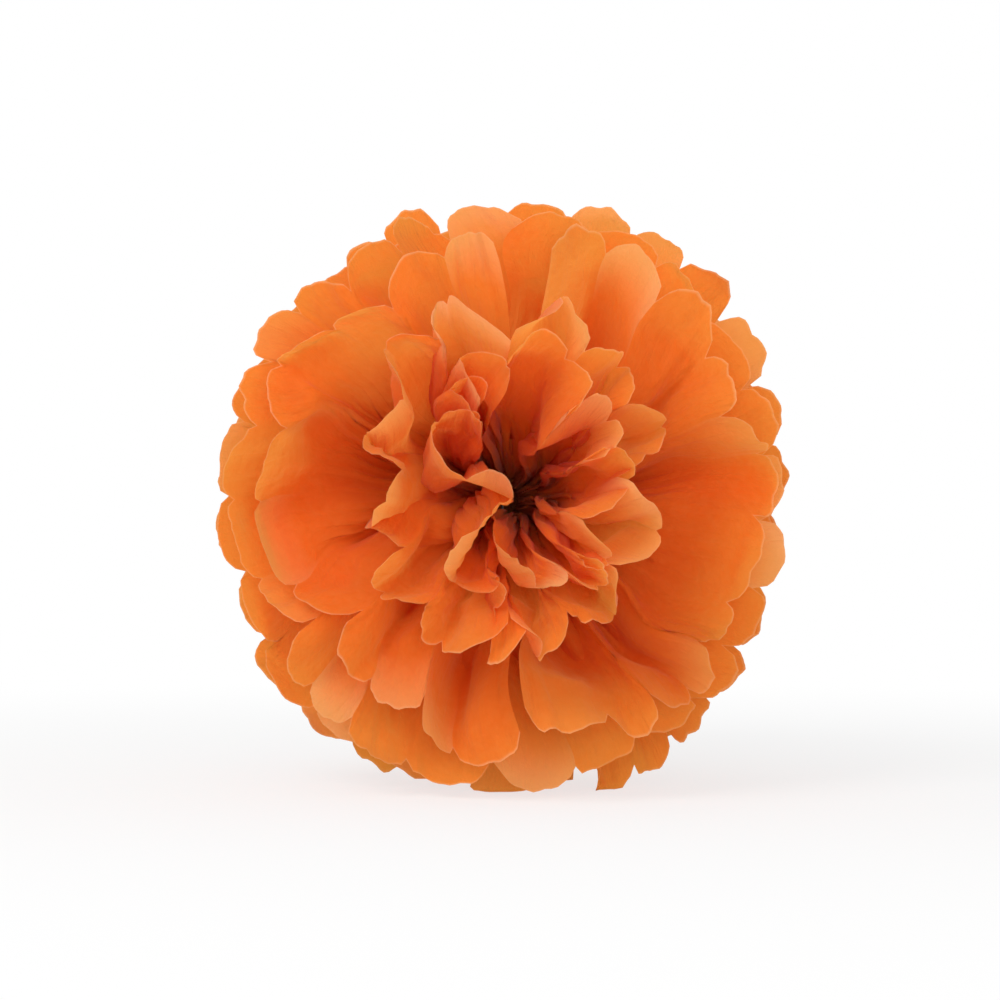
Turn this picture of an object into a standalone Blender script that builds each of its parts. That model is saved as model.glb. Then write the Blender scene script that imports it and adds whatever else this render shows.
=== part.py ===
# Tissue paper pom pom. Ten sheets are folded together in pleats, tied round the waist with
# wire, trimmed round at the ends and pulled apart one by one, half to the front, half to the back.
# Metres, +Z up. The pleats fan out round the Y axis, and the opened heart faces -Y.

import math

import bmesh
import bpy
import numpy as np

# The paper.
SHEETS = 10
SHEET_THICKNESS = 0.0004
PANEL_WIDTH = 0.03175  # fold to fold
HALF_LENGTH = 0.1305  # waist to trimmed tip
NOTCH_DEPTH = 0.0095  # how far the round trim cuts back at a fold

# The fan. Folds of one half, seen from the front, anticlockwise from the lower slit.
RIGHT_FOLDS = (-82, -70, -59, -46, -31, -19, -4, 11, 26, 41, 56, 71, 86)
LEFT_FOLDS = (94, 109, 121, 135, 150, 164, 183, 199, 213, 230, 243, 257, 274)
RIGHT_REACH = (1.02, 1.015, 0.99, 0.98, 0.96, 0.955, 0.965, 0.985, 0.995, 1.015, 1.035, 1.04)
LEFT_REACH = (1.03, 1.0, 0.975, 0.965, 0.965, 0.97, 0.955, 0.945, 1.01, 0.995, 1.005, 1.02)
OPEN_ANGLE = 74.0  # the first sheet's lift out of the fan's plane
NESTING = 0.7  # share of the room between nested sheets that their pleats take up
STEEPEST = 2.7  # a pleat's depth over its width
BEND_LENGTH = 0.008  # how slowly the paper bends away from the waist
WAIST_SPREAD = 0.90  # share of the fan's spread that is left at the waist
SPREAD_LENGTH = 0.04
SLIT_SHIFT = 8.0  # degrees that the slit of every other sheet lies to either side
SLIT_FOLDS = 4.0  # folds over which that shift dies away

# The waist and its wire.
WAIST_RADIUS = 0.0065
WAIST_PITCH = 0.0011  # sheet to sheet inside the tie
CLEARANCE = 0.0003
WIRE_DIAMETER = 0.0009
TWIST_LENGTH = 0.022
TWIST_TURNS = 2
EYE_RADIUS = 0.003

# How unevenly the petals were pulled out.
FOLD_SWAY = 1.8  # degrees either way round the fan
FOLD_LIFT = 3.0  # degrees either way out of the fan
SHARED_LIFT = 6.0  # degrees either way, the same for all the sheets
FOLD_CURL = 14.0  # degrees of roll along one petal
MEAN_CURL = (-24.0, -16.0, -8.0, -3.0, 0.0)  # degrees that tips roll back, from the heart to the rim
LEAST_PLEAT = 0.1  # depth that a pleat keeps where its panels lie open, over their width
PANEL_BULGE = 0.0028  # how far the middle of a panel swells at its tip
CHANCE = 3
SHARED_CHANCE = 10
HEART_SHIFT = (0.008, 0.007)  # where the opened heart leans, right and up
PLEAT_SHARE = 0.85  # how sharply a pleat stands, of the most that its panels allow
DRAW_STEPS = 24  # rounds in which folds too far apart are drawn together
DRAW_SHARE = 0.25  # of the excess, at either fold, in one round

# The last sheet was pulled open like the first, but evenly: inner folds come in over the tie,
# outer folds lean out. Degrees.
HEART_SHEETS = 1
INNER_LIFT = 5.0
INNER_CURL = 12.0
INNER_SWAY = 6.0
OUTER_LIFT = -1.0
OUTER_CURL = -6.0
OUTER_SWAY = 6.0

# Where the tips of the front sheet were teased to, in mm right of the tie and above it: fold by
# fold from the lower slit of the right half, then from the upper slit of the left half.
TEASED = {
    (0, 0): ((5, -14), (15, -43), (17, -20), (40, -39), (23, -12), (50, -25), (23, -3),
             (50, 18), (19, 9), (38, 35), (13, 20), (23, 55), (2, 23)),
    (0, 1): ((-5, 27), (-17, 60), (-13, 31), (-28, 49), (-10, 21), (-41, 23), (-19, 12),
             (14, 2), (-13, -4), (-22, -36), (-5, -23), (-4, -50), (8, -55)),
}
TEASED_LENGTH = 0.121  # waist to a fold's notch
TEASED_DEPTH = 0.11
TEASED_BENDS = (1.2, 1.4)  # how late an inner and an outer fold leaves the waist
LEAST_FORWARD = 0.25  # share of its length by which a fold still comes forward
AIM_STEPS = 5
AIM_SHARE = 0.8

# Slow bends that all the sheets share.
BEND_SIZE = 0.010
BEND_WAVE = 0.095  # the shortest wave is 0.8 of this
BEND_RANGE = (0.8, 1.3)
BEND_WAVES = 7
BEND_CHANCE = 5
TIE_REACH = 0.015  # within this of the tie nothing bends
BEND_FADE = 0.06
RIM_REACH = 0.135
RIM_SHARE = 0.45  # share of the bends that is left at the rim

# The table presses the lowest tips flat this far below the waist.
WAIST_HEIGHT = 0.1225
FOOT_CURL = 15.0  # degrees that the lowest tips of the four middle sheets splay
FOOT_FOLDS = 3.0  # folds over which that splay dies away

# Where the faces are cut: along a fold up to its notch, and across a panel's round lobe.
ROWS = (0.26, 0.62, 1.0)
LOBE_POINTS = (0.17, 0.5, 0.83)
PROFILE_STEPS = 48
TANGENT_STEP = 0.004

ORANGE = (0.807, 0.130, 0.012, 1.0)
WIRE_GREY = (0.45, 0.45, 0.43, 1.0)


def clear_scene():
    for item in list(bpy.data.objects):
        bpy.data.objects.remove(item, do_unlink=True)


def make_material(name, colour, roughness, metallic):
    material = bpy.data.materials.new(name)
    material.use_nodes = True
    shader = material.node_tree.nodes["Principled BSDF"]
    shader.inputs["Base Color"].default_value = colour
    shader.inputs["Roughness"].default_value = roughness
    shader.inputs["Metallic"].default_value = metallic
    return material


def soft_minimum(first, second):
    """The lesser of two widths, rounded where they cross."""
    power = 4
    total = np.maximum(first, 1e-9) ** -power + np.maximum(second, 1e-9) ** -power
    return total ** (-1 / power)


def sheet_lift(sheet):
    """Mean lift of a sheet in degrees, from the front one to the back one."""
    return OPEN_ANGLE * (1 - 2 * sheet / (SHEETS - 1))


def petal_handles(sheet, side):
    """How each fold of one half sheet was pulled: sway, lift and curl in degrees."""
    folds = len(RIGHT_FOLDS if side == 0 else LEFT_FOLDS)
    chance = np.random.default_rng((CHANCE, sheet, side))
    sway = FOLD_SWAY * chance.uniform(-1, 1, folds)
    lift = FOLD_LIFT * chance.uniform(-1, 1, folds)
    curl = FOLD_CURL * chance.uniform(-1, 1, folds)
    depth = min(sheet, SHEETS - 1 - sheet)
    facing = 1 if sheet < SHEETS / 2 else -1
    curl = curl + facing * MEAN_CURL[depth]
    shared = np.random.default_rng((SHARED_CHANCE, side)).uniform(-1, 1, folds)
    lift = lift + facing * SHARED_LIFT * shared * math.sin(math.radians(abs(sheet_lift(sheet))))
    lowest = np.arange(folds) if side == 0 else np.arange(folds)[::-1]
    foot = np.clip(1 - lowest / FOOT_FOLDS, 0, 1)
    from_middle = (SHEETS - 1) / 2 - sheet
    if abs(from_middle) < 2:
        lift = lift * (1 - foot)
        curl = curl * (1 - foot) + math.copysign(FOOT_CURL, from_middle) * foot
    if depth < HEART_SHEETS:
        inner = np.arange(folds) % 2 == (0 if facing > 0 else 1)
        sway = sway + np.where(inner, INNER_SWAY, OUTER_SWAY) * chance.uniform(-1, 1, folds)
        lift = lift + facing * np.where(inner, INNER_LIFT, OUTER_LIFT)
        curl = curl + facing * np.where(inner, INNER_CURL, OUTER_CURL)
    return sway, lift, curl


def slit_shift(sheet, side):
    """Radians that each fold gives way where neighbouring sheets cover each other's slits."""
    folds = np.arange(len(RIGHT_FOLDS if side == 0 else LEFT_FOLDS))
    first = np.clip(1 - folds / SLIT_FOLDS, 0, 1)
    last = np.clip(1 - folds[::-1] / SLIT_FOLDS, 0, 1)
    turn = math.radians(SLIT_SHIFT) * math.cos(math.radians(sheet_lift(sheet))) ** 1.5
    turn = turn if sheet % 2 else -turn
    upper, lower = (last, first) if side == 0 else (first, last)
    return turn * upper - turn * lower


def tease_tips(lines, along, tips):
    """Each fold keeps its length and runs out to where its tip was teased."""
    share = along / TEASED_LENGTH
    run = along[1] - along[0]
    for fold, tip in enumerate(tips):
        aim = np.array([tip[0] / 1000, -TEASED_DEPTH, tip[1] / 1000])
        place = aim
        for _ in range(AIM_STEPS):
            place = place - (bend_ball(place) - aim) * np.array([AIM_SHARE, 0, AIM_SHARE])
        start = lines[fold, 0].copy()
        grow = share ** TEASED_BENDS[fold % 2]
        flat = start[::2] + grow[:, None] * (place[::2] - start[::2])
        step = np.diff(flat, axis=0)
        forward = np.sqrt(np.maximum(run ** 2 - (step ** 2).sum(axis=1), (LEAST_FORWARD * run) ** 2))
        lines[fold, :, ::2] = flat
        lines[fold, 1:, 1] = start[1] - np.cumsum(forward)
    return lines


def run_along(slope, along):
    """The distance covered from the waist by lines that have this slope at each step."""
    step = along[1] - along[0]
    middle = (slope[:, 1:] + slope[:, :-1]) / 2
    return np.hstack([np.zeros((len(slope), 1)), np.cumsum(middle * step, axis=1)])


def fold_lines(sheet, side, along):
    """Points of every fold of one half sheet at distances along the paper from its waist."""
    folds = np.radians(np.array(RIGHT_FOLDS if side == 0 else LEFT_FOLDS, dtype=float))
    sway, lift, curl = (np.radians(values) for values in petal_handles(sheet, side))
    bend = 1 - np.exp(-along / BEND_LENGTH)
    share = along / HALF_LENGTH
    lift = math.radians(sheet_lift(sheet)) + lift
    heading = lift[:, None] * bend + curl[:, None] * share ** 2
    level = WAIST_PITCH * ((SHEETS - 1) / 2 - sheet)
    radius = WAIST_RADIUS + run_along(np.cos(heading), along)
    depth = level + run_along(np.sin(heading), along)

    centre = math.pi * side
    drift = (folds[0] + folds[-1]) / 2 - centre
    spread = WAIST_SPREAD + (1 - WAIST_SPREAD) * np.clip(along / SPREAD_LENGTH, 0, 1)
    sway = sway + slit_shift(sheet, side)
    turn = centre + (folds - centre - drift)[:, None] * spread + drift * share
    turn = turn + sway[:, None] * share ** 1.5
    gaps = np.gradient(folds)[:, None] * spread

    # A pleat is as deep as its panel's width allows, and near the waist as deep as the
    # sheets on either side leave room for.
    arc = radius * gaps
    apart = math.radians(2 * OPEN_ANGLE / (SHEETS - 1) - 2 * FOLD_LIFT)
    spacing = WAIST_PITCH + along * apart * bend
    clear = SHEET_THICKNESS + 2 * CLEARANCE
    steepness = NESTING * np.sqrt(np.maximum((spacing / clear) ** 2 - 1, 0))
    steepness = np.minimum(steepness, STEEPEST)
    opened = np.sqrt(np.maximum(PANEL_WIDTH ** 2 - arc ** 2, (LEAST_PLEAT * PANEL_WIDTH) ** 2))
    pleat = soft_minimum(opened * PLEAT_SHARE, steepness * arc)
    sign = np.where(np.arange(len(folds)) % 2 == 0, 0.5, -0.5)[:, None]
    radius = radius - sign * pleat * np.sin(heading)
    depth = depth + sign * pleat * np.cos(heading)

    lines = np.stack([radius * np.cos(turn), -depth, radius * np.sin(turn)], axis=2)
    if (sheet, side) in TEASED:
        lines = tease_tips(lines, along, TEASED[sheet, side])
    for _ in range(DRAW_STEPS):
        chord = lines[1:] - lines[:-1]
        length = np.linalg.norm(chord, axis=2, keepdims=True)
        excess = np.maximum(length - PANEL_WIDTH, 0) / np.maximum(length, 1e-9)
        lines[:-1] += chord * excess * DRAW_SHARE
        lines[1:] -= chord * excess * DRAW_SHARE
    return lines


def bend_ball(point):
    """The front petals lean towards the heart's own centre, and slow waves bend all the sheets alike."""
    front = max(-point[1], 0.0) / HALF_LENGTH
    point = point + np.array([HEART_SHIFT[0], 0.0, HEART_SHIFT[1]]) * front ** 2
    chance = np.random.default_rng(BEND_CHANCE)
    shift = np.zeros(3)
    for _ in range(BEND_WAVES):
        direction = chance.normal(size=3)
        direction /= np.linalg.norm(direction)
        push = chance.normal(size=3)
        push /= np.linalg.norm(push)
        number = 2 * math.pi / (BEND_WAVE * chance.uniform(*BEND_RANGE))
        shift += np.sin(point @ direction * number + chance.uniform(0, 2 * math.pi)) * push
    reach = np.linalg.norm(point)
    fade = np.clip((reach - TIE_REACH) / BEND_FADE, 0, 1)
    rim = np.clip((RIM_REACH - math.hypot(point[0], point[2])) / BEND_FADE, RIM_SHARE, 1)
    return point + shift * BEND_SIZE / math.sqrt(BEND_WAVES / 2) * fade * rim


def half_sheet(mesh, sheet, side):
    """Adds the pleated panels of one half sheet and returns its waist vertices."""
    reach = np.array(RIGHT_REACH if side == 0 else LEFT_REACH) * (HALF_LENGTH - WAIST_RADIUS)
    panels = len(reach)
    padded = np.concatenate([reach[:1], reach, reach[-1:]])
    notches = np.minimum(padded[:-1], padded[1:]) - NOTCH_DEPTH
    along = np.linspace(0, HALF_LENGTH, PROFILE_STEPS)
    lines = fold_lines(sheet, side, along)

    def on_fold(fold, distance):
        return np.array([np.interp(distance, along, lines[fold, :, axis]) for axis in range(3)])

    def surface(panel, across, distance):
        first, second = on_fold(panel, distance), on_fold(panel + 1, distance)
        normal = np.cross(second - first, first - on_fold(panel, distance - TANGENT_STEP))
        normal = normal / max(np.linalg.norm(normal), 1e-9)
        swell = PANEL_BULGE * 4 * across * (1 - across) * (distance / HALF_LENGTH) ** 2
        return mesh.verts.new(bend_ball(first + across * (second - first) + swell * normal))

    waist = []
    fold_rows = []
    for fold in range(panels + 1):
        panel = min(fold, panels - 1)
        waist.append(surface(panel, fold - panel, 0.0))
        fold_rows.append([surface(panel, fold - panel, row * notches[fold]) for row in ROWS])
    for panel in range(panels):
        level = (notches[panel] + notches[panel + 1]) / 2
        middle = [surface(panel, 0.5, row * level) for row in ROWS]
        left, right = fold_rows[panel], fold_rows[panel + 1]
        mesh.faces.new((waist[panel], middle[0], left[0]))
        mesh.faces.new((waist[panel], waist[panel + 1], middle[0]))
        mesh.faces.new((waist[panel + 1], right[0], middle[0]))
        for row in range(len(ROWS) - 1):
            mesh.faces.new((left[row], middle[row], middle[row + 1], left[row + 1]))
            mesh.faces.new((middle[row], right[row], right[row + 1], middle[row + 1]))
        rim = []
        for across in LOBE_POINTS:
            base = (1 - across) * notches[panel] + across * notches[panel + 1]
            height = (reach[panel] - base) * math.sqrt(1 - (2 * across - 1) ** 2)
            rim.append(surface(panel, across, base + height))
        mesh.faces.new((left[-1], middle[-1], rim[1], rim[0]))
        mesh.faces.new((middle[-1], right[-1], rim[2], rim[1]))
    return waist


def press_on_table(mesh):
    """Tips that would reach below the table bend away over it, as long as they were."""
    table = -WAIST_HEIGHT
    bmesh.ops.bisect_plane(
        mesh, geom=mesh.verts[:] + mesh.edges[:] + mesh.faces[:], dist=1e-5,
        plane_co=(0, 0, table), plane_no=(0, 0, 1))
    for vertex in mesh.verts:
        below = table - vertex.co.z
        if below > 0:
            vertex.co.y += math.copysign(below, vertex.co.y)
            vertex.co.z = table


def thicken(mesh):
    """Turns the paper's middle surface into a closed sheet of its real form."""
    mesh.normal_update()
    shift = mesh.verts.layers.float_vector.new("shift")
    for vertex in mesh.verts:
        vertex[shift] = vertex.normal * SHEET_THICKNESS
        vertex.co += vertex.normal * SHEET_THICKNESS / 2
    result = bmesh.ops.extrude_face_region(mesh, geom=mesh.faces[:], use_keep_orig=True)
    for item in result["geom"]:
        if isinstance(item, bmesh.types.BMVert):
            item.co -= item[shift]
    bmesh.ops.recalc_face_normals(mesh, faces=mesh.faces[:])


def tissue_sheet(sheet, parent):
    mesh = bmesh.new()
    right = half_sheet(mesh, sheet, 0)
    left = half_sheet(mesh, sheet, 1)
    mesh.faces.new(list(reversed(right + left)))
    press_on_table(mesh)
    thicken(mesh)
    for vertex in mesh.verts:
        vertex.co.z = max(vertex.co.z, -WAIST_HEIGHT)
    name = f"tissue_sheet_{sheet + 1:02d}"
    data = bpy.data.meshes.new(name)
    mesh.to_mesh(data)
    mesh.free()
    item = bpy.data.objects.new(name, data)
    item.parent = parent
    bpy.context.collection.objects.link(item)
    data.materials.append(make_material(name, ORANGE, 0.85, 0.0))
    return item


def wire_route():
    """Once round the stacked waists in the slit, then twisted up to a small eye."""
    half = WIRE_DIAMETER / 2
    tall = WAIST_RADIUS + CLEARANCE + half
    deep = WAIST_PITCH * (SHEETS - 1) / 2 + SHEET_THICKNESS / 2 + CLEARANCE + half
    strand = half + CLEARANCE
    corner = WIRE_DIAMETER + CLEARANCE
    loop = [(0.0, strand, tall)]
    for quarter in range(4):
        side = (1, 1, -1, -1)[quarter]
        rise = (1, -1, -1, 1)[quarter]
        for step in range(5):
            angle = math.radians(90 - 90 * quarter - 22.5 * step)
            loop.append((0.0, side * (deep - corner) + corner * math.cos(angle),
                         rise * (tall - corner) + corner * math.sin(angle)))
    loop.append((0.0, -strand, tall))
    steps = 8 * TWIST_TURNS

    def strand_points(phase):
        points = []
        for step in range(1, steps + 1):
            angle = phase + 2 * math.pi * TWIST_TURNS * step / steps
            height = tall + TWIST_LENGTH * step / steps
            points.append((strand * math.sin(angle), strand * math.cos(angle), height))
        return points

    first = strand_points(0.0)
    second = strand_points(math.pi)
    top = tall + TWIST_LENGTH
    eye = []
    for step in range(1, 12):
        angle = math.radians(-75 + 27 * step)
        eye.append((0.0, EYE_RADIUS * math.cos(angle + math.pi), top + EYE_RADIUS * (1 + math.sin(angle))))
    return list(reversed(first)) + loop + second + eye


def tie_wire(parent):
    curve = bpy.data.curves.new("tie_wire", "CURVE")
    curve.dimensions = "3D"
    curve.bevel_depth = WIRE_DIAMETER / 2
    curve.bevel_resolution = 2
    curve.use_fill_caps = True
    route = wire_route()
    spline = curve.splines.new("POLY")
    spline.points.add(len(route) - 1)
    for point, place in zip(spline.points, route):
        point.co = (*place, 1.0)
    item = bpy.data.objects.new("tie_wire", curve)
    item.parent = parent
    bpy.context.collection.objects.link(item)
    curve.materials.append(make_material("tie_wire", WIRE_GREY, 0.4, 1.0))
    return item


def main():
    clear_scene()
    waist = bpy.data.objects.new("waist", None)
    bpy.context.collection.objects.link(waist)
    sheets = [tissue_sheet(sheet, waist) for sheet in range(SHEETS)]
    tie_wire(waist)
    corners = np.array([vertex.co for item in sheets for vertex in item.data.vertices])
    middle = (corners.min(axis=0) + corners.max(axis=0)) / 2
    waist.location = (-middle[0], -middle[1], WAIST_HEIGHT)


main()
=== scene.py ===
import math

import bpy
import numpy as np
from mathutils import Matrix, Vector, noise


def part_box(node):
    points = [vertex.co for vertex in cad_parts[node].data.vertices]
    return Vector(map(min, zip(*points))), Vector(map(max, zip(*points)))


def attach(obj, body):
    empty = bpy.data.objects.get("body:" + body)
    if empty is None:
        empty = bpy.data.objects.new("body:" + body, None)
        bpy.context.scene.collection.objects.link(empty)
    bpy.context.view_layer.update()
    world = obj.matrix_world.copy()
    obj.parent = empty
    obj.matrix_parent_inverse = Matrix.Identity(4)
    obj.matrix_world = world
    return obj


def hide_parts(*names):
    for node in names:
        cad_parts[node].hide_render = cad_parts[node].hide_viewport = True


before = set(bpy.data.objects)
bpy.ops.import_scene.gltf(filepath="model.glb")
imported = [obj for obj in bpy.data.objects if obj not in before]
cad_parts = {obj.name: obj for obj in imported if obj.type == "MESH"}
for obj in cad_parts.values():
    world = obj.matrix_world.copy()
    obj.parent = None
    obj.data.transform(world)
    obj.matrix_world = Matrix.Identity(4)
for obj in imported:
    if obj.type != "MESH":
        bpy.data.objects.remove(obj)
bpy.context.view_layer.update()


def hexColour(code):
    channels = [int(code[i:i + 2], 16) / 255 for i in (0, 2, 4)]
    linear = [c / 12.92 if c <= 0.04045 else ((c + 0.055) / 1.055) ** 2.4 for c in channels]
    return (*linear, 1.0)


def addNode(tree, kind, settings=None, values=None, links=None):
    node = tree.nodes.new(kind)
    for name, value in (settings or {}).items():
        setattr(node, name, value)
    for socket, value in (values or {}).items():
        node.inputs[socket].default_value = value
    for socket, source in (links or {}).items():
        tree.links.new(source, node.inputs[socket])
    return node


def mixColours(tree, first, second, share):
    # sockets 6, 7 and output 2 of the node are the ones for colours
    node = addNode(tree, "ShaderNodeMix", {"data_type": "RGBA"}, {7: second}, {0: share})
    if isinstance(first, tuple):
        node.inputs[6].default_value = first
    else:
        tree.links.new(first, node.inputs[6])
    return node.outputs[2]


def noiseOn(tree, place, size, values):
    node = addNode(tree, "ShaderNodeTexNoise", {}, {"Scale": 1 / size, **values}, {"Vector": place})
    return node.outputs["Fac"]


def rangeOf(tree, value, start, end, first=0.0, last=1.0, kind="LINEAR"):
    limits = {"From Min": start, "From Max": end, "To Min": first, "To Max": last}
    node = addNode(tree, "ShaderNodeMapRange", {"interpolation_type": kind}, limits, {"Value": value})
    return node.outputs["Result"]


def mathOn(tree, operation, values, links):
    return addNode(tree, "ShaderNodeMath", {"operation": operation}, values, links).outputs["Value"]


def newMaterial(name):
    material = bpy.data.materials.new(name)
    material.use_nodes = True
    material.node_tree.nodes.clear()
    return material


# the folded stack, tied and fanned, as the frame has it
fan = {
    "sheets": 10,
    "panelWidth": 0.03175,      # fold to fold
    "halfLength": 0.1305,       # waist to trimmed tip
    "notchDepth": 0.0095,
    "rightFolds": (-82, -70, -59, -46, -31, -19, -4, 11, 26, 41, 56, 71, 86),
    "leftFolds": (94, 109, 121, 135, 150, 164, 183, 199, 213, 230, 243, 257, 274),
    "rightReach": (1.02, 1.015, 0.99, 0.98, 0.96, 0.955, 0.965, 0.985, 0.995, 1.015, 1.035, 1.04),
    "leftReach": (1.03, 1.0, 0.975, 0.965, 0.965, 0.97, 0.955, 0.945, 1.01, 0.995, 1.005, 1.02),
    "openAngle": 74.0,
    "bendLength": 0.008,
    "waistSpread": 0.93,
    "spreadLength": 0.012,
    "slitShift": 8.0,           # the petals at the slit lie over it, sheet by sheet to either side
    "slitFolds": 4.0,
    "slitReach": 0.02,
    "slitEase": (1.6, 0.6),
    "steepest": 7.0,
    "waistRadius": 0.0065,
    "waistPitch": 0.0011,
    "wireReach": 0.0012,        # from the waist to the wire's far side
    "foldSway": (2.4, 2.4, 6.0, 4.5, 2.4),      # sheet by sheet from the front, then the same
    "swayEase": 1.5,
    "foldLift": (4.0, 4.0, 12.0, 8.0, 4.0),
    "sharedLift": 6.0,          # the same for all the sheets
    "foldCurl": 14.0,
    "meanCurl": (-24.0, -16.0, -8.0, -3.0, 0.0),    # tips roll back, most at the heart
    "leastPleat": 0.1,
    "pleatBlend": 4.0,          # how sharply the two limits on a pleat's depth meet
    "pleatShare": 0.85,         # how sharply a pleat stands, of the most that its panels allow
    "drawRounds": 24,           # rounds and share in which folds too far apart draw together
    "drawShare": 0.25,
    "heartShift": (0.008, 0.007),   # the heart leans this far right and up
    "footCurl": 15.0,           # the lowest petals of the middle sheets turn out on the table
    "footFolds": 3.0,
    "chance": 3,
}

# the last sheet was pulled open evenly: inner folds come in over the tie, outer folds lean out
backHeart = {
    "sheets": 1,
    "innerLift": 5.0,
    "innerCurl": 12.0,
    "innerSway": 6.0,
    "outerLift": -1.0,
    "outerCurl": -6.0,
    "outerSway": 6.0,
}

# where the tips of the two front sheets were teased to, in mm right of the tie and above it,
# fold by fold from the lower slit of the right half, then from the upper slit of the left half
teased = {
    (0, 0): ((-5, -13), (9, -42), (18, -22), (43, -42), (25, -15), (49, -26), (24, -3),
             (54, 6), (31, 14), (50, 38), (16, 22), (27, 58), (1, 56)),
    (0, 1): ((-3, 40), (-21, 62), (-13, 34), (-26, 49), (-6, 23), (-26, 37), (-20, 12),
             (12, 1), (-9, -7), (-24, -37), (-6, -25), (-5, -52), (4, -56)),
    (1, 0): ((-5, -42), (23, -75), (21, -46), (59, -54), (38, -28), (74, -10), (45, 4),
             (78, 42), (42, 28), (59, 69), (29, 52), (39, 94), (-4, 58)),
    (1, 1): ((7, 56), (-21, 92), (-22, 58), (-47, 63), (-36, 38), (-66, 34), (-37, 12),
             (-63, -11), (-34, -12), (-61, -42), (-28, -38), (-30, -70), (5, -44)),
}

# how far each panel of the front sheet bellies out, and to which side
teasedBelly = {
    (0, 0): (-0.6, 0.5, 0.4, 0.5, 0.5, -0.3, 0.6, 0.5, 0.6, 0.6, 0.5, 1.0),
    (0, 1): (0.8, 0.5, 0.6, 0.3, 0.2, 1.0, -1.0, 0.3, 0.6, 0.8, -0.5, 0.6),
}
teasedLength = 0.121        # waist to a fold's notch
teasedRun = {
    "tipDepth": 0.11,           # how far in front of the tie the teased tips lie
    "aimSteps": 5,              # rounds that undo the bend which comes later
    "aimShare": 0.8,
    "leastForward": 0.25,       # of each step
    "bends": (1.2, 1.4),        # how late an inner and an outer fold turn to its tip
}

# slow bends that all the sheets share, so that petals lie on each other as they shift
ballBend = {
    "size": 0.010,
    "length": 0.095,
    "waves": 7,
    "lengthRange": (0.8, 1.3),
    "tieReach": 0.015,          # still inside this
    "fade": 0.06,
    "rimReach": 0.135,          # less out here, so that the outline keeps its place
    "rimShare": 0.45,
    "chance": 5,
}

# the wire's loop sits on the waist, so its lowest point says where that is
wireLow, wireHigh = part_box("tie_wire")
wireReach = fan["waistRadius"] + fan["wireReach"]
waist = Vector(((wireLow[0] + wireHigh[0]) / 2, (wireLow[1] + wireHigh[1]) / 2, wireLow[2] + wireReach))
tableDrop = waist.z         # the table lies this far below the waist
print("waist at", waist)


def sheetLift(sheet):
    return fan["openAngle"] * (1 - 2 * sheet / (fan["sheets"] - 1))


def petalHandles(sheet, side):
    folds = len(fan["rightFolds" if side == 0 else "leftFolds"])
    chance = np.random.default_rng((fan["chance"], sheet, side))
    sway = fan["foldSway"][min(sheet, 4)] * chance.uniform(-1, 1, folds)
    lift = fan["foldLift"][min(sheet, 4)] * chance.uniform(-1, 1, folds)
    curl = fan["foldCurl"] * chance.uniform(-1, 1, folds)
    depth = min(sheet, fan["sheets"] - 1 - sheet)
    facing = 1 if sheet < fan["sheets"] / 2 else -1
    curl = curl + facing * fan["meanCurl"][depth]
    shared = np.random.default_rng((fan["chance"] + 7, side)).uniform(-1, 1, folds)
    lift = lift + facing * fan["sharedLift"] * shared * math.sin(math.radians(abs(sheetLift(sheet))))
    lowest = np.arange(folds) if side == 0 else np.arange(folds)[::-1]
    foot = np.clip(1 - lowest / fan["footFolds"], 0, 1)
    fromMiddle = (fan["sheets"] - 1) / 2 - sheet
    if abs(fromMiddle) < 2:
        lift = lift * (1 - foot)
        curl = curl * (1 - foot) + math.copysign(fan["footCurl"], fromMiddle) * foot
    if depth < backHeart["sheets"]:
        inner = np.arange(folds) % 2 == (0 if facing > 0 else 1)
        turned = np.where(inner, backHeart["innerSway"], backHeart["outerSway"])
        sway = sway + turned * chance.uniform(-1, 1, folds)
        lift = lift + facing * np.where(inner, backHeart["innerLift"], backHeart["outerLift"])
        curl = curl + facing * np.where(inner, backHeart["innerCurl"], backHeart["outerCurl"])
    return sway, lift, curl


def slitShift(sheet, side):
    folds = np.arange(len(fan["rightFolds" if side == 0 else "leftFolds"]))
    first = np.clip(1 - folds / fan["slitFolds"], 0, 1)
    last = np.clip(1 - folds[::-1] / fan["slitFolds"], 0, 1)
    turn = math.radians(fan["slitShift"]) * math.cos(math.radians(sheetLift(sheet))) ** 1.5
    turn = turn if sheet % 2 else -turn
    upper, lower = (last, first) if side == 0 else (first, last)
    return turn * upper - turn * lower


def bendBall(points):
    # a sum of slow waves with seeded directions; it fades out at the tie
    chance = np.random.default_rng(ballBend["chance"])
    shift = np.zeros_like(points)
    for wave in range(ballBend["waves"]):
        direction = chance.normal(size=3)
        direction /= np.linalg.norm(direction)
        push = chance.normal(size=3)
        push /= np.linalg.norm(push)
        number = 2 * math.pi / (ballBend["length"] * chance.uniform(*ballBend["lengthRange"]))
        phase = chance.uniform(0, 2 * math.pi)
        shift += np.sin(points @ direction * number + phase)[..., None] * push
    reach = np.linalg.norm(points, axis=-1, keepdims=True)
    fade = np.clip((reach - ballBend["tieReach"]) / ballBend["fade"], 0, 1)
    fromAxis = np.linalg.norm(points[..., ::2], axis=-1, keepdims=True)
    rim = np.clip((ballBend["rimReach"] - fromAxis) / ballBend["fade"], ballBend["rimShare"], 1)
    return points + shift * ballBend["size"] / math.sqrt(ballBend["waves"] / 2) * fade * rim


def bendHeart(points):
    front = np.maximum(-points[..., 1:2], 0) / fan["halfLength"]
    return bendBall(points + np.array([fan["heartShift"][0], 0, fan["heartShift"][1]]) * front ** 2)


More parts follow.
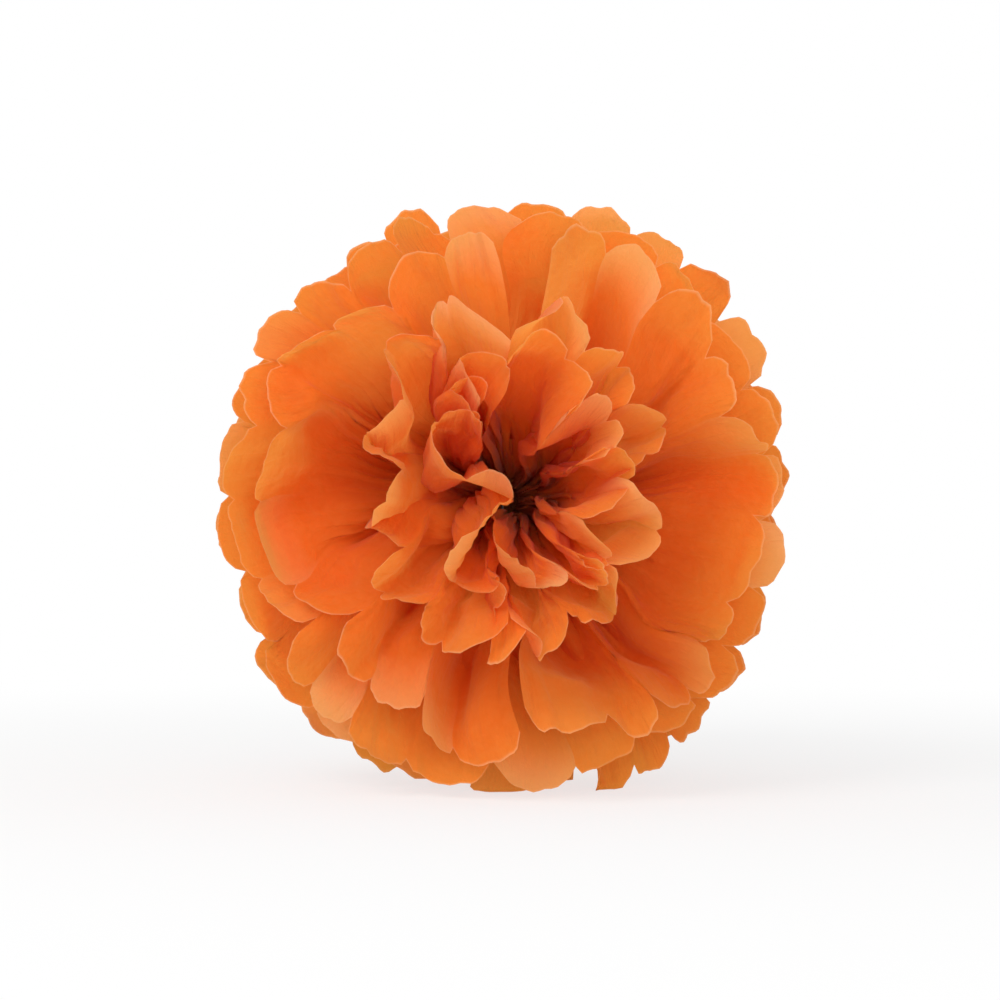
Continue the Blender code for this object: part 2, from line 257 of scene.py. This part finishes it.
def teaseTips(lines, along, tips):
    # each fold keeps its length and runs out to where its tip was teased
    share = along / teasedLength
    for fold, tip in enumerate(tips):
        aim = np.array([tip[0] / 1000, -teasedRun["tipDepth"], tip[1] / 1000])
        place = aim.copy()
        for _ in range(teasedRun["aimSteps"]):
            miss = bendHeart(place) - aim
            place = place - miss * np.array([1, 0, 1]) * teasedRun["aimShare"]
        start = lines[fold, 0]
        grow = share ** teasedRun["bends"][fold % 2]
        flat = start[None, ::2] + grow[:, None] * (place[::2] - start[::2])[None]
        step = np.diff(flat, axis=0)
        run = along[1] - along[0]
        least = teasedRun["leastForward"] * run
        forward = np.sqrt(np.maximum(run ** 2 - (step ** 2).sum(axis=1), least ** 2))
        lines[fold, :, 0] = flat[:, 0]
        lines[fold, :, 2] = flat[:, 1]
        lines[fold, 1:, 1] = start[1] - np.cumsum(forward)
    return lines


def runAlong(slope, along):
    step = along[1] - along[0]
    middle = (slope[:, 1:] + slope[:, :-1]) / 2
    return np.hstack([np.zeros((len(slope), 1)), np.cumsum(middle * step, axis=1)])


def foldLines(sheet, side, along):
    folds = np.radians(np.array(fan["rightFolds" if side == 0 else "leftFolds"], dtype=float))
    sway, lift, curl = (np.radians(values) for values in petalHandles(sheet, side))
    bend = 1 - np.exp(-along / fan["bendLength"])
    share = along / fan["halfLength"]
    lift = math.radians(sheetLift(sheet)) + lift
    heading = lift[:, None] * bend + curl[:, None] * share ** 2
    level = fan["waistPitch"] * ((fan["sheets"] - 1) / 2 - sheet)
    radius = fan["waistRadius"] + runAlong(np.cos(heading), along)
    depth = level + runAlong(np.sin(heading), along)

    centre = math.pi * side
    drift = (folds[0] + folds[-1]) / 2 - centre
    spread = fan["waistSpread"] + (1 - fan["waistSpread"]) * np.clip(along / fan["spreadLength"], 0, 1)
    turn = centre + (folds - centre - drift)[:, None] * spread + drift * share
    slit = slitShift(sheet, side)
    most, drop = fan["slitEase"]
    slitFade = np.clip(along / fan["slitReach"], 0, 1) * (most - drop * share)
    turn = turn + sway[:, None] * share ** fan["swayEase"] + slit[:, None] * slitFade
    gaps = np.gradient(folds)[:, None] * spread

    # a pleat is as deep as its panel's width allows, less near the waist where it is crowded
    arc = radius * gaps
    least = fan["leastPleat"] * fan["panelWidth"]
    opened = np.sqrt(np.maximum(fan["panelWidth"] ** 2 - arc ** 2, least ** 2)) * fan["pleatShare"]
    crowded = fan["steepest"] * arc
    blend = fan["pleatBlend"]
    pleat = (opened ** -blend + crowded ** -blend) ** (-1 / blend)
    sign = np.where(np.arange(len(folds)) % 2 == 0, 0.5, -0.5)[:, None]
    radius = radius - sign * pleat * np.sin(heading)
    depth = depth + sign * pleat * np.cos(heading)
    lines = np.stack([radius * np.cos(turn), -depth, radius * np.sin(turn)], axis=2)
    if (sheet, side) in teased:
        lines = teaseTips(lines, along, teased[sheet, side])
    for _ in range(fan["drawRounds"]):      # paper doesn't stretch
        chord = lines[1:] - lines[:-1]
        length = np.linalg.norm(chord, axis=2, keepdims=True)
        excess = np.maximum(length - fan["panelWidth"], 0) / np.maximum(length, 1e-9)
        lines[:-1] += chord * excess * fan["drawShare"]
        lines[1:] -= chord * excess * fan["drawShare"]
    return lines


# the fine paper over those folds
petals = {
    "across": 14,               # faces across a panel
    "along": 46,                # faces from waist to tip
    "alongEase": 0.9,
    "lineSteps": 72,            # points on a fold line, which runs on a little past the tip
    "lineOverrun": 1.02,
    "ownBelly": 0.6,            # how far a panel's belly can differ from the one behind it
    "mostSwell": 0.30,          # a panel's belly takes up its slack, up to this share of its chord
    "heartSwell": 0.50,
    "gather": 0.9,              # how much of the spare width the gathers at the tie take up
    "gatherFull": 0.01,         # where they are as deep as that
    "gatherStart": 0.03,        # where they start to open
    "gatherEnd": (0.125, 0.095),   # where they are gone, in the two front sheets and in the rest
    "foldRound": (1, 5),        # steps over which a fold is rounded, at the tie and at the tips
    "tipCurl": 0.011,           # how far a round tip rolls over
    "tipShare": 0.72,           # where that roll starts, over the whole length
    "crumple": 0.0032,          # slow bends of the paper
    "crumpleSize": 0.026,
    "crease": 0.0036,           # ridges left where the paper was squeezed
    "creaseSize": 0.015,
    "wrinkle": 0.0009,          # short creases that run out from the waist
    "wrinkleSize": 0.006,
    "ragged": 0.0022,           # how uneven the trimmed edge is
    "raggedSize": 0.006,
    "raggedApart": (9.1, 3.7),  # how far apart in the noise halves and sheets are, so that none match
    "sheetApart": 2.7,
    "creaseApart": 3.1,
    "wrinkleApart": 7.3,
    "growReach": 0.05,          # crumples grow to their full size this far out
    "wander": 0.15,             # creases wander to the side as they run out
    "wanderSize": 0.02,
    "creaseStretch": 2.2,
    "wrinkleStretch": 5,
    "tableGap": 0.0004,
    "noiseChance": 4,
}
noise.seed_set(petals["noiseChance"])   # the same bends in each run


def smoothRows(grid, reach):
    # each point becomes the mean of its neighbours across the folds; the free edges stay put
    kernel = np.array([reach + 1 - abs(k) for k in range(-reach, reach + 1)], dtype=float)
    kernel /= kernel.sum()
    ends = [np.repeat(row, reach, axis=0) for row in (grid[:1], grid[-1:])]
    padded = np.concatenate([ends[0], grid, ends[1]])
    result = sum(weight * padded[k:k + len(grid)] for k, weight in enumerate(kernel))
    result[0], result[-1] = grid[0], grid[-1]
    return result


def halfSheet(sheet, side):
    # a grid of points: across the panels, then from waist to tip
    chance = np.random.default_rng((fan["chance"] + 50, sheet, side))
    reach = np.array(fan["rightReach" if side == 0 else "leftReach"])
    reach = reach * (fan["halfLength"] - fan["waistRadius"])
    panels = len(reach)
    padded = np.concatenate([reach[:1], reach, reach[-1:]])
    notches = np.minimum(padded[:-1], padded[1:]) - fan["notchDepth"]
    along = np.linspace(0, fan["halfLength"] * petals["lineOverrun"], petals["lineSteps"])
    lines = foldLines(sheet, side, along)

    count = panels * petals["across"] + 1
    u = np.arange(count) / petals["across"]
    panel = np.minimum(u.astype(int), panels - 1)
    part = (u - panel)[:, None]
    first, second = lines[panel], lines[panel + 1]
    grid = first + part[:, :, None] * (second - first)
    tangent = np.gradient(first, axis=1)
    normal = np.cross(second - first, tangent)
    normal /= np.maximum(np.linalg.norm(normal, axis=2, keepdims=True), 1e-9)
    share = (along / fan["halfLength"])[None, :]
    belly = 4 * part * (1 - part)
    width = np.linalg.norm(second - first, axis=2)
    slack = np.maximum(fan["panelWidth"] - width, 0)
    most = petals["heartSwell" if (sheet, side) in teased else "mostSwell"]
    swell = np.minimum(np.sqrt(3 / 8 * width * slack), most * width)
    common = np.random.default_rng((fan["chance"] + 90, side)).uniform(-1, 1, panels)
    own = chance.uniform(-petals["ownBelly"], petals["ownBelly"], panels)
    way = np.clip(2 * (common + own), -1, 1)
    roll = chance.uniform(-1, 1, panels)
    if (sheet, side) in teasedBelly:
        way = roll = np.array(teasedBelly[sheet, side])
    swell = swell * way[panel][:, None]
    roll = petals["tipCurl"] * roll[panel][:, None]
    late = np.clip((share - petals["tipShare"]) / (1 - petals["tipShare"]), 0, 1.1)
    outward = belly * swell * np.clip(share * 2, 0, 1) + belly ** 0.5 * roll * late ** 2
    grid = grid + outward[:, :, None] * normal
    sharp, soft = (smoothRows(grid, steps) for steps in petals["foldRound"])
    grid = sharp + (soft - sharp) * np.clip(share, 0, 1)[:, :, None] ** 1.5

    # towards the tie the paper is gathered: fine pleats take up what its width doesn't use
    cell = width / petals["across"]
    spare = np.sqrt(np.maximum((fan["panelWidth"] / petals["across"]) ** 2 - cell ** 2, 0))
    end = petals["gatherEnd"][0 if (sheet, side) in teased else 1]
    fade = np.clip((end - along) / (end - petals["gatherStart"]), 0, 1)[None, :]
    ply = np.sin(np.arange(count) * math.pi / 2)[:, None]
    outward = ply * spare * fade * petals["gather"] * np.clip(along / petals["gatherFull"], 0, 1)
    grid = grid + outward[:, :, None] * normal

    base = (1 - part[:, 0]) * notches[panel] + part[:, 0] * notches[panel + 1]
    tip = base + (reach[panel] - base) * np.sqrt(np.maximum(1 - (2 * part[:, 0] - 1) ** 2, 0))
    size, (half, ply) = petals["raggedSize"], petals["raggedApart"]
    wavy = [noise.noise(Vector((x / size, side * half, sheet * ply))) for x in u * fan["panelWidth"]]
    tip = tip + petals["ragged"] * np.array(wavy)
    rows = np.linspace(0, 1, petals["along"] + 1) ** petals["alongEase"]
    points = np.zeros((count, len(rows), 3))
    for i in range(count):
        for axis in range(3):
            points[i, :, axis] = np.interp(rows * tip[i], along, grid[i, :, axis])
    points = bendHeart(points)
    cutArea = np.mean(tip + fan["waistRadius"]) * panels * fan["panelWidth"]
    flat = np.stack([np.repeat((u * fan["panelWidth"])[:, None], len(rows), axis=1),
                     rows[None, :] * tip[:, None]], axis=2)
    edge = tip[:, None] * (1 - rows[None, :])
    return points, flat, edge, cutArea


def crumplePoint(point, flat, seed):
    # slow bends, then ridged creases drawn out along the petal
    size = petals["crumpleSize"]
    slow = noise.noise_vector(Vector((point[0] / size, point[1] / size + seed, point[2] / size)))
    grow = min(flat[1] / petals["growReach"], 1.0)
    wide, narrow = petals["creaseSize"], petals["wrinkleSize"]
    bent = flat[0] + petals["wander"] * flat[1] * math.sin(flat[0] / petals["wanderSize"] + seed)
    drawn = flat[1] / wide / petals["creaseStretch"]
    ridge = abs(noise.noise(Vector((bent / wide, drawn, seed * petals["creaseApart"]))))
    drawn = flat[1] / narrow / petals["wrinkleStretch"]
    fine = noise.noise(Vector((bent / narrow, drawn, seed * petals["wrinkleApart"])))
    return slow * petals["crumple"] * grow, (ridge * petals["crease"] + fine * petals["wrinkle"]) * grow


def tissueSheet(sheet):
    name = f"tissue_{sheet + 1:02d}"
    vertices, faces, flats, edges, rings = [], [], [], [], []
    for side in (0, 1):
        points, flat, edge, cutArea = halfSheet(sheet, side)
        count, rows = points.shape[:2]
        # petal normals, for the fine creases
        alongStep = np.gradient(points, axis=1)
        acrossStep = np.gradient(points, axis=0)
        normal = np.cross(acrossStep, alongStep)
        normal /= np.maximum(np.linalg.norm(normal, axis=2, keepdims=True), 1e-9)
        start = len(vertices)
        for i in range(count):
            for j in range(rows):
                slow, fine = crumplePoint(points[i, j], flat[i, j], sheet * petals["sheetApart"])
                place = Vector(points[i, j]) + slow + Vector(normal[i, j]) * fine
                below = -tableDrop - place.z
                if below > -petals["tableGap"]:
                    place.y += math.copysign(max(below, 0), place.y)
                    place.z = -tableDrop + petals["tableGap"]
                vertices.append(place + waist)
                flats.append((flat[i, j, 0] + side * 16 * fan["panelWidth"], flat[i, j, 1]))
                edges.append(edge[i, j])
        for i in range(count - 1):
            for j in range(rows - 1):
                a = start + i * rows + j
                faces.append((a, a + rows, a + rows + 1, a + 1))
        rings += [start + i * rows for i in range(0, count, petals["across"])]
    faces.append(tuple(reversed(rings)))

    data = bpy.data.meshes.new(name)
    data.from_pydata(vertices, [], faces)
    data.polygons.foreach_set("use_smooth", [True] * len(data.polygons))
    paperMap = data.uv_layers.new(name="paper")
    corners = np.zeros(len(data.loops), dtype=int)
    data.loops.foreach_get("vertex_index", corners)
    paperMap.data.foreach_set("uv", np.array(flats, dtype=float)[corners].ravel())
    rim = data.attributes.new("rim", "FLOAT", "POINT")
    rim.data.foreach_set("value", np.array(edges, dtype=float))
    data.validate()
    item = bpy.data.objects.new(name, data)
    bpy.context.collection.objects.link(item)
    data.materials.append(dyedTissue)
    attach(item, "root")
    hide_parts(f"tissue_sheet_{sheet + 1:02d}")


# Dyed tissue paper: thin machine-glazed wood pulp, matt, with a cloudy formation of fibres.
# Half the light goes through a sheet, so petals glow at their rims and deepen where they stack.
tissueLook = {
    "colour": "EC701E",
    "paleColour": "F08438",
    "cloudShare": 0.5,
    "singlePlyGlowColour": "F6B880",      # painted glow: where a petal tip lies single, the light through it is painted in as this paler colour
    "glowStart": 0.003,          # from the trimmed edge, metres
    "glowEnd": 0.026,
    "tipShare": 0.8,
    "glowChance": (0.6, 0.95),
    "edgeHighlightColour": "F7BD8C",     # painted highlight where the cut edge catches the light
    "edgeHighlightWidth": 0.0012,
    "edgeHighlightShare": 0.8,
    "throughColour": "FFB44A",
    "throughShare": 0.5,
    "roughness": 0.85,
    "specular": 0.25,
    "sheen": 0.1,
    "cloudSize": 0.0035,        # clumps of fibre, metres
    "fibreSize": 0.0005,
    "fibreHeight": 0.10,
    "crinkleSize": 0.007,
    "streakWidth": 0.0035,      # creases run out from the tie
    "streakLength": 0.028,
    "streakHeight": 0.9,
    "bumpStrength": 0.75,
    "bumpHeight": 0.0014,
}


def tissueColour(tree, flat):
    look = tissueLook
    cloud = noiseOn(tree, flat, look["cloudSize"], {"Detail": 3.0, "Roughness": 0.6})
    cloudShare = rangeOf(tree, cloud, 0.35, 0.7, 0.0, look["cloudShare"])
    body = mixColours(tree, hexColour(look["colour"]), hexColour(look["paleColour"]), cloudShare)

    # painted glow: each panel of each sheet has its own chance of a paler tip, the light through a single
    # ply painted as colour
    apart = addNode(tree, "ShaderNodeSeparateXYZ", {}, {}, {"Vector": flat})
    cell = mathOn(tree, "DIVIDE", {1: fan["panelWidth"]}, {0: apart.outputs["X"]})
    panel = mathOn(tree, "FLOOR", {}, {0: cell})
    sheetMark = addNode(tree, "ShaderNodeObjectInfo")
    mark = mathOn(tree, "MULTIPLY_ADD", {1: 97.0}, {0: sheetMark.outputs["Random"], 2: panel})
    chance = addNode(tree, "ShaderNodeTexWhiteNoise", {"noise_dimensions": "1D"}, {}, {"W": mark})
    glowChosen = rangeOf(tree, chance.outputs["Value"], *look["glowChance"])
    rim = addNode(tree, "ShaderNodeAttribute", {"attribute_name": "rim"}).outputs["Fac"]
    # the painted glow is strongest at the trimmed edge and fades inwards
    tipShare = rangeOf(tree, rim, look["glowStart"], look["glowEnd"], look["tipShare"], 0.0)
    paintedGlow = mathOn(tree, "MULTIPLY", {}, {0: glowChosen, 1: tipShare})
    withGlow = mixColours(tree, body, hexColour(look["singlePlyGlowColour"]), paintedGlow)
    # painted highlight along the cut edge
    edgeHighlightShare = rangeOf(tree, rim, 0.0, look["edgeHighlightWidth"], look["edgeHighlightShare"], 0.0)
    return mixColours(tree, withGlow, hexColour(look["edgeHighlightColour"]), edgeHighlightShare)


def tissueBump(tree, flat):
    look = tissueLook
    fibre = noiseOn(tree, flat, look["fibreSize"], {"Detail": 2.0})
    crinkle = noiseOn(tree, flat, look["crinkleSize"], {"Detail": 4.0, "Roughness": 0.55})
    stretch = (1 / look["streakWidth"], 1 / look["streakLength"], 1.0)
    drawn = addNode(tree, "ShaderNodeMapping", {}, {"Scale": stretch}, {"Vector": flat})
    streak = noiseOn(tree, drawn.outputs["Vector"], 1.0, {"Detail": 3.0, "Distortion": 0.4})
    grain = mathOn(tree, "MULTIPLY_ADD", {1: look["fibreHeight"]}, {0: fibre, 2: crinkle})
    height = mathOn(tree, "MULTIPLY_ADD", {1: look["streakHeight"]}, {0: streak, 2: grain})
    limits = {"Strength": look["bumpStrength"], "Distance": look["bumpHeight"]}
    return addNode(tree, "ShaderNodeBump", {}, limits, {"Height": height}).outputs["Normal"]


def makeTissue():
    material = newMaterial("dyed_tissue_paper")
    tree = material.node_tree
    look = tissueLook
    flat = addNode(tree, "ShaderNodeUVMap", {"uv_map": "paper"}).outputs["UV"]
    bump = tissueBump(tree, flat)
    front = addNode(tree, "ShaderNodeBsdfPrincipled", {},
                    {"Roughness": look["roughness"], "Specular IOR Level": look["specular"],
                     "Sheen Weight": look["sheen"]},
                    {"Base Color": tissueColour(tree, flat), "Normal": bump})
    through = addNode(tree, "ShaderNodeBsdfTranslucent", {}, {"Color": hexColour(look["throughColour"])},
                      {"Normal": bump})
    both = addNode(tree, "ShaderNodeMixShader", {}, {"Fac": look["throughShare"]},
                   {1: front.outputs["BSDF"], 2: through.outputs["BSDF"]})
    addNode(tree, "ShaderNodeOutputMaterial", {}, {}, {"Surface": both.outputs["Shader"]})
    return material


# Soft steel wire, drawn and annealed: grey, with a dull shine along its length.
wireLook = {
    "colour": "A8A8A2",
    "roughness": (0.3, 0.5),
    "drawSize": 0.0004,
}


def makeWire():
    material = newMaterial("annealed_steel_wire")
    tree = material.node_tree
    place = addNode(tree, "ShaderNodeTexCoord").outputs["Object"]
    draw = noiseOn(tree, place, wireLook["drawSize"], {"Detail": 2.0})
    metal = addNode(tree, "ShaderNodeBsdfPrincipled", {},
                    {"Base Color": hexColour(wireLook["colour"]), "Metallic": 1.0},
                    {"Roughness": rangeOf(tree, draw, 0.0, 1.0, *wireLook["roughness"])})
    addNode(tree, "ShaderNodeOutputMaterial", {}, {}, {"Surface": metal.outputs["BSDF"]})
    return material


dyedTissue = makeTissue()
for sheet in range(fan["sheets"]):
    tissueSheet(sheet)
print("ten tissue sheets made")

wireSteel = makeWire()
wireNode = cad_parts["tie_wire"]
for slot in wireNode.material_slots:
    slot.material = wireSteel
print("tie wire finished")


# a white card floor that fades to white, plain soft light, the camera where the photograph was taken from
studio = {
    "photoScale": 0.00043,      # metres a pixel at the ball's middle
    "ballPixel": (502.5, 500.0),
    "cameraDistance": 1.25,
    "floorWhite": 0.9,
    "floorHalf": 4.0,
    "fade": (0.12, 0.75),       # how far from the middle the floor turns to plain white
    "fadeShare": (0.72, 1.0),
    "worldStrength": 0.645,
    "keyPower": 15.5,
    "keyPlace": (-0.9, -1.3, 1.25),
    "keySize": 0.9,
    "fillPower": 12.5,
    "fillPlace": (0.35, -1.9, 0.35),
    "fillSize": 1.0,
}


def seenDirectly(tree):
    # 1 for what the camera sees, also in metal or through glass
    rays = addNode(tree, "ShaderNodeLightPath")
    mirrored = mathOn(tree, "MAXIMUM", {}, {0: rays.outputs["Is Glossy Ray"],
                                            1: rays.outputs["Is Transmission Ray"]})
    return mathOn(tree, "MAXIMUM", {}, {0: rays.outputs["Is Camera Ray"], 1: mirrored})


def makeFloor():
    half = studio["floorHalf"]
    vertices = [(-half, -half, 0), (half, -half, 0), (half, half, 0), (-half, half, 0)]
    data = bpy.data.meshes.new("floor")
    data.from_pydata(vertices, [], [(0, 1, 2, 3)])
    item = bpy.data.objects.new("floor", data)
    bpy.context.collection.objects.link(item)

    # matt white card; the camera sees it lit up to white, pure white further out, with the shadow left
    material = newMaterial("white_card")
    tree = material.node_tree
    white = studio["floorWhite"]
    card = addNode(tree, "ShaderNodeBsdfDiffuse", {}, {"Color": (white, white, white, 1)})
    glow = addNode(tree, "ShaderNodeEmission", {}, {"Strength": 1.0})
    place = addNode(tree, "ShaderNodeNewGeometry").outputs["Position"]
    reach = addNode(tree, "ShaderNodeVectorMath", {"operation": "LENGTH"}, {}, {0: place}).outputs["Value"]
    fade = rangeOf(tree, reach, *studio["fade"], *studio["fadeShare"], "SMOOTHSTEP")
    share = mathOn(tree, "MULTIPLY", {}, {0: seenDirectly(tree), 1: fade})
    both = addNode(tree, "ShaderNodeMixShader", {}, {},
                   {"Fac": share, 1: card.outputs["BSDF"], 2: glow.outputs["Emission"]})
    addNode(tree, "ShaderNodeOutputMaterial", {}, {}, {"Surface": both.outputs["Shader"]})
    data.materials.append(material)


def areaLight(name, place, target, power, size):
    lamp = bpy.data.lights.new(name, "AREA")
    lamp.energy = power
    lamp.size = size
    item = bpy.data.objects.new(name, lamp)
    item.location = place
    item.rotation_euler = (Vector(target) - Vector(place)).to_track_quat("-Z", "Y").to_euler()
    bpy.context.collection.objects.link(item)


def makeStudio():
    makeFloor()
    middle = Vector((0, 0, tableDrop))
    areaLight("key", studio["keyPlace"], middle, studio["keyPower"], studio["keySize"])
    areaLight("fill", studio["fillPlace"], middle, studio["fillPower"], studio["fillSize"])
    world = bpy.data.worlds.new("studio")
    bpy.context.scene.world = world
    world.use_nodes = True
    tree = world.node_tree
    tree.nodes.clear()
    white = (1.0, 1.0, 1.0, 1.0)
    lit = addNode(tree, "ShaderNodeBackground", {}, {"Color": white, "Strength": studio["worldStrength"]})
    seen = addNode(tree, "ShaderNodeBackground", {}, {"Color": white, "Strength": 1.0})
    both = addNode(tree, "ShaderNodeMixShader", {}, {},
                   {"Fac": seenDirectly(tree), 1: lit.outputs["Background"], 2: seen.outputs["Background"]})
    addNode(tree, "ShaderNodeOutputWorld", {}, {}, {"Surface": both.outputs["Shader"]})

    camera = bpy.data.cameras.new("camera")
    item = bpy.data.objects.new("camera", camera)
    bpy.context.collection.objects.link(item)
    scale, distance = studio["photoScale"], studio["cameraDistance"]
    right, down = (500 - pixel for pixel in studio["ballPixel"])
    aim = Vector((right * scale, 0, tableDrop - down * scale))
    item.location = aim + Vector((0, -distance, 0))
    item.rotation_euler = (math.pi / 2, 0, 0)
    camera.sensor_width = 36
    camera.lens = 36 * distance / (1000 * scale)
    camera.clip_end = 20
    bpy.context.scene.camera = item
    bpy.context.scene.view_settings.view_transform = "Standard"


makeStudio()
print("studio set")
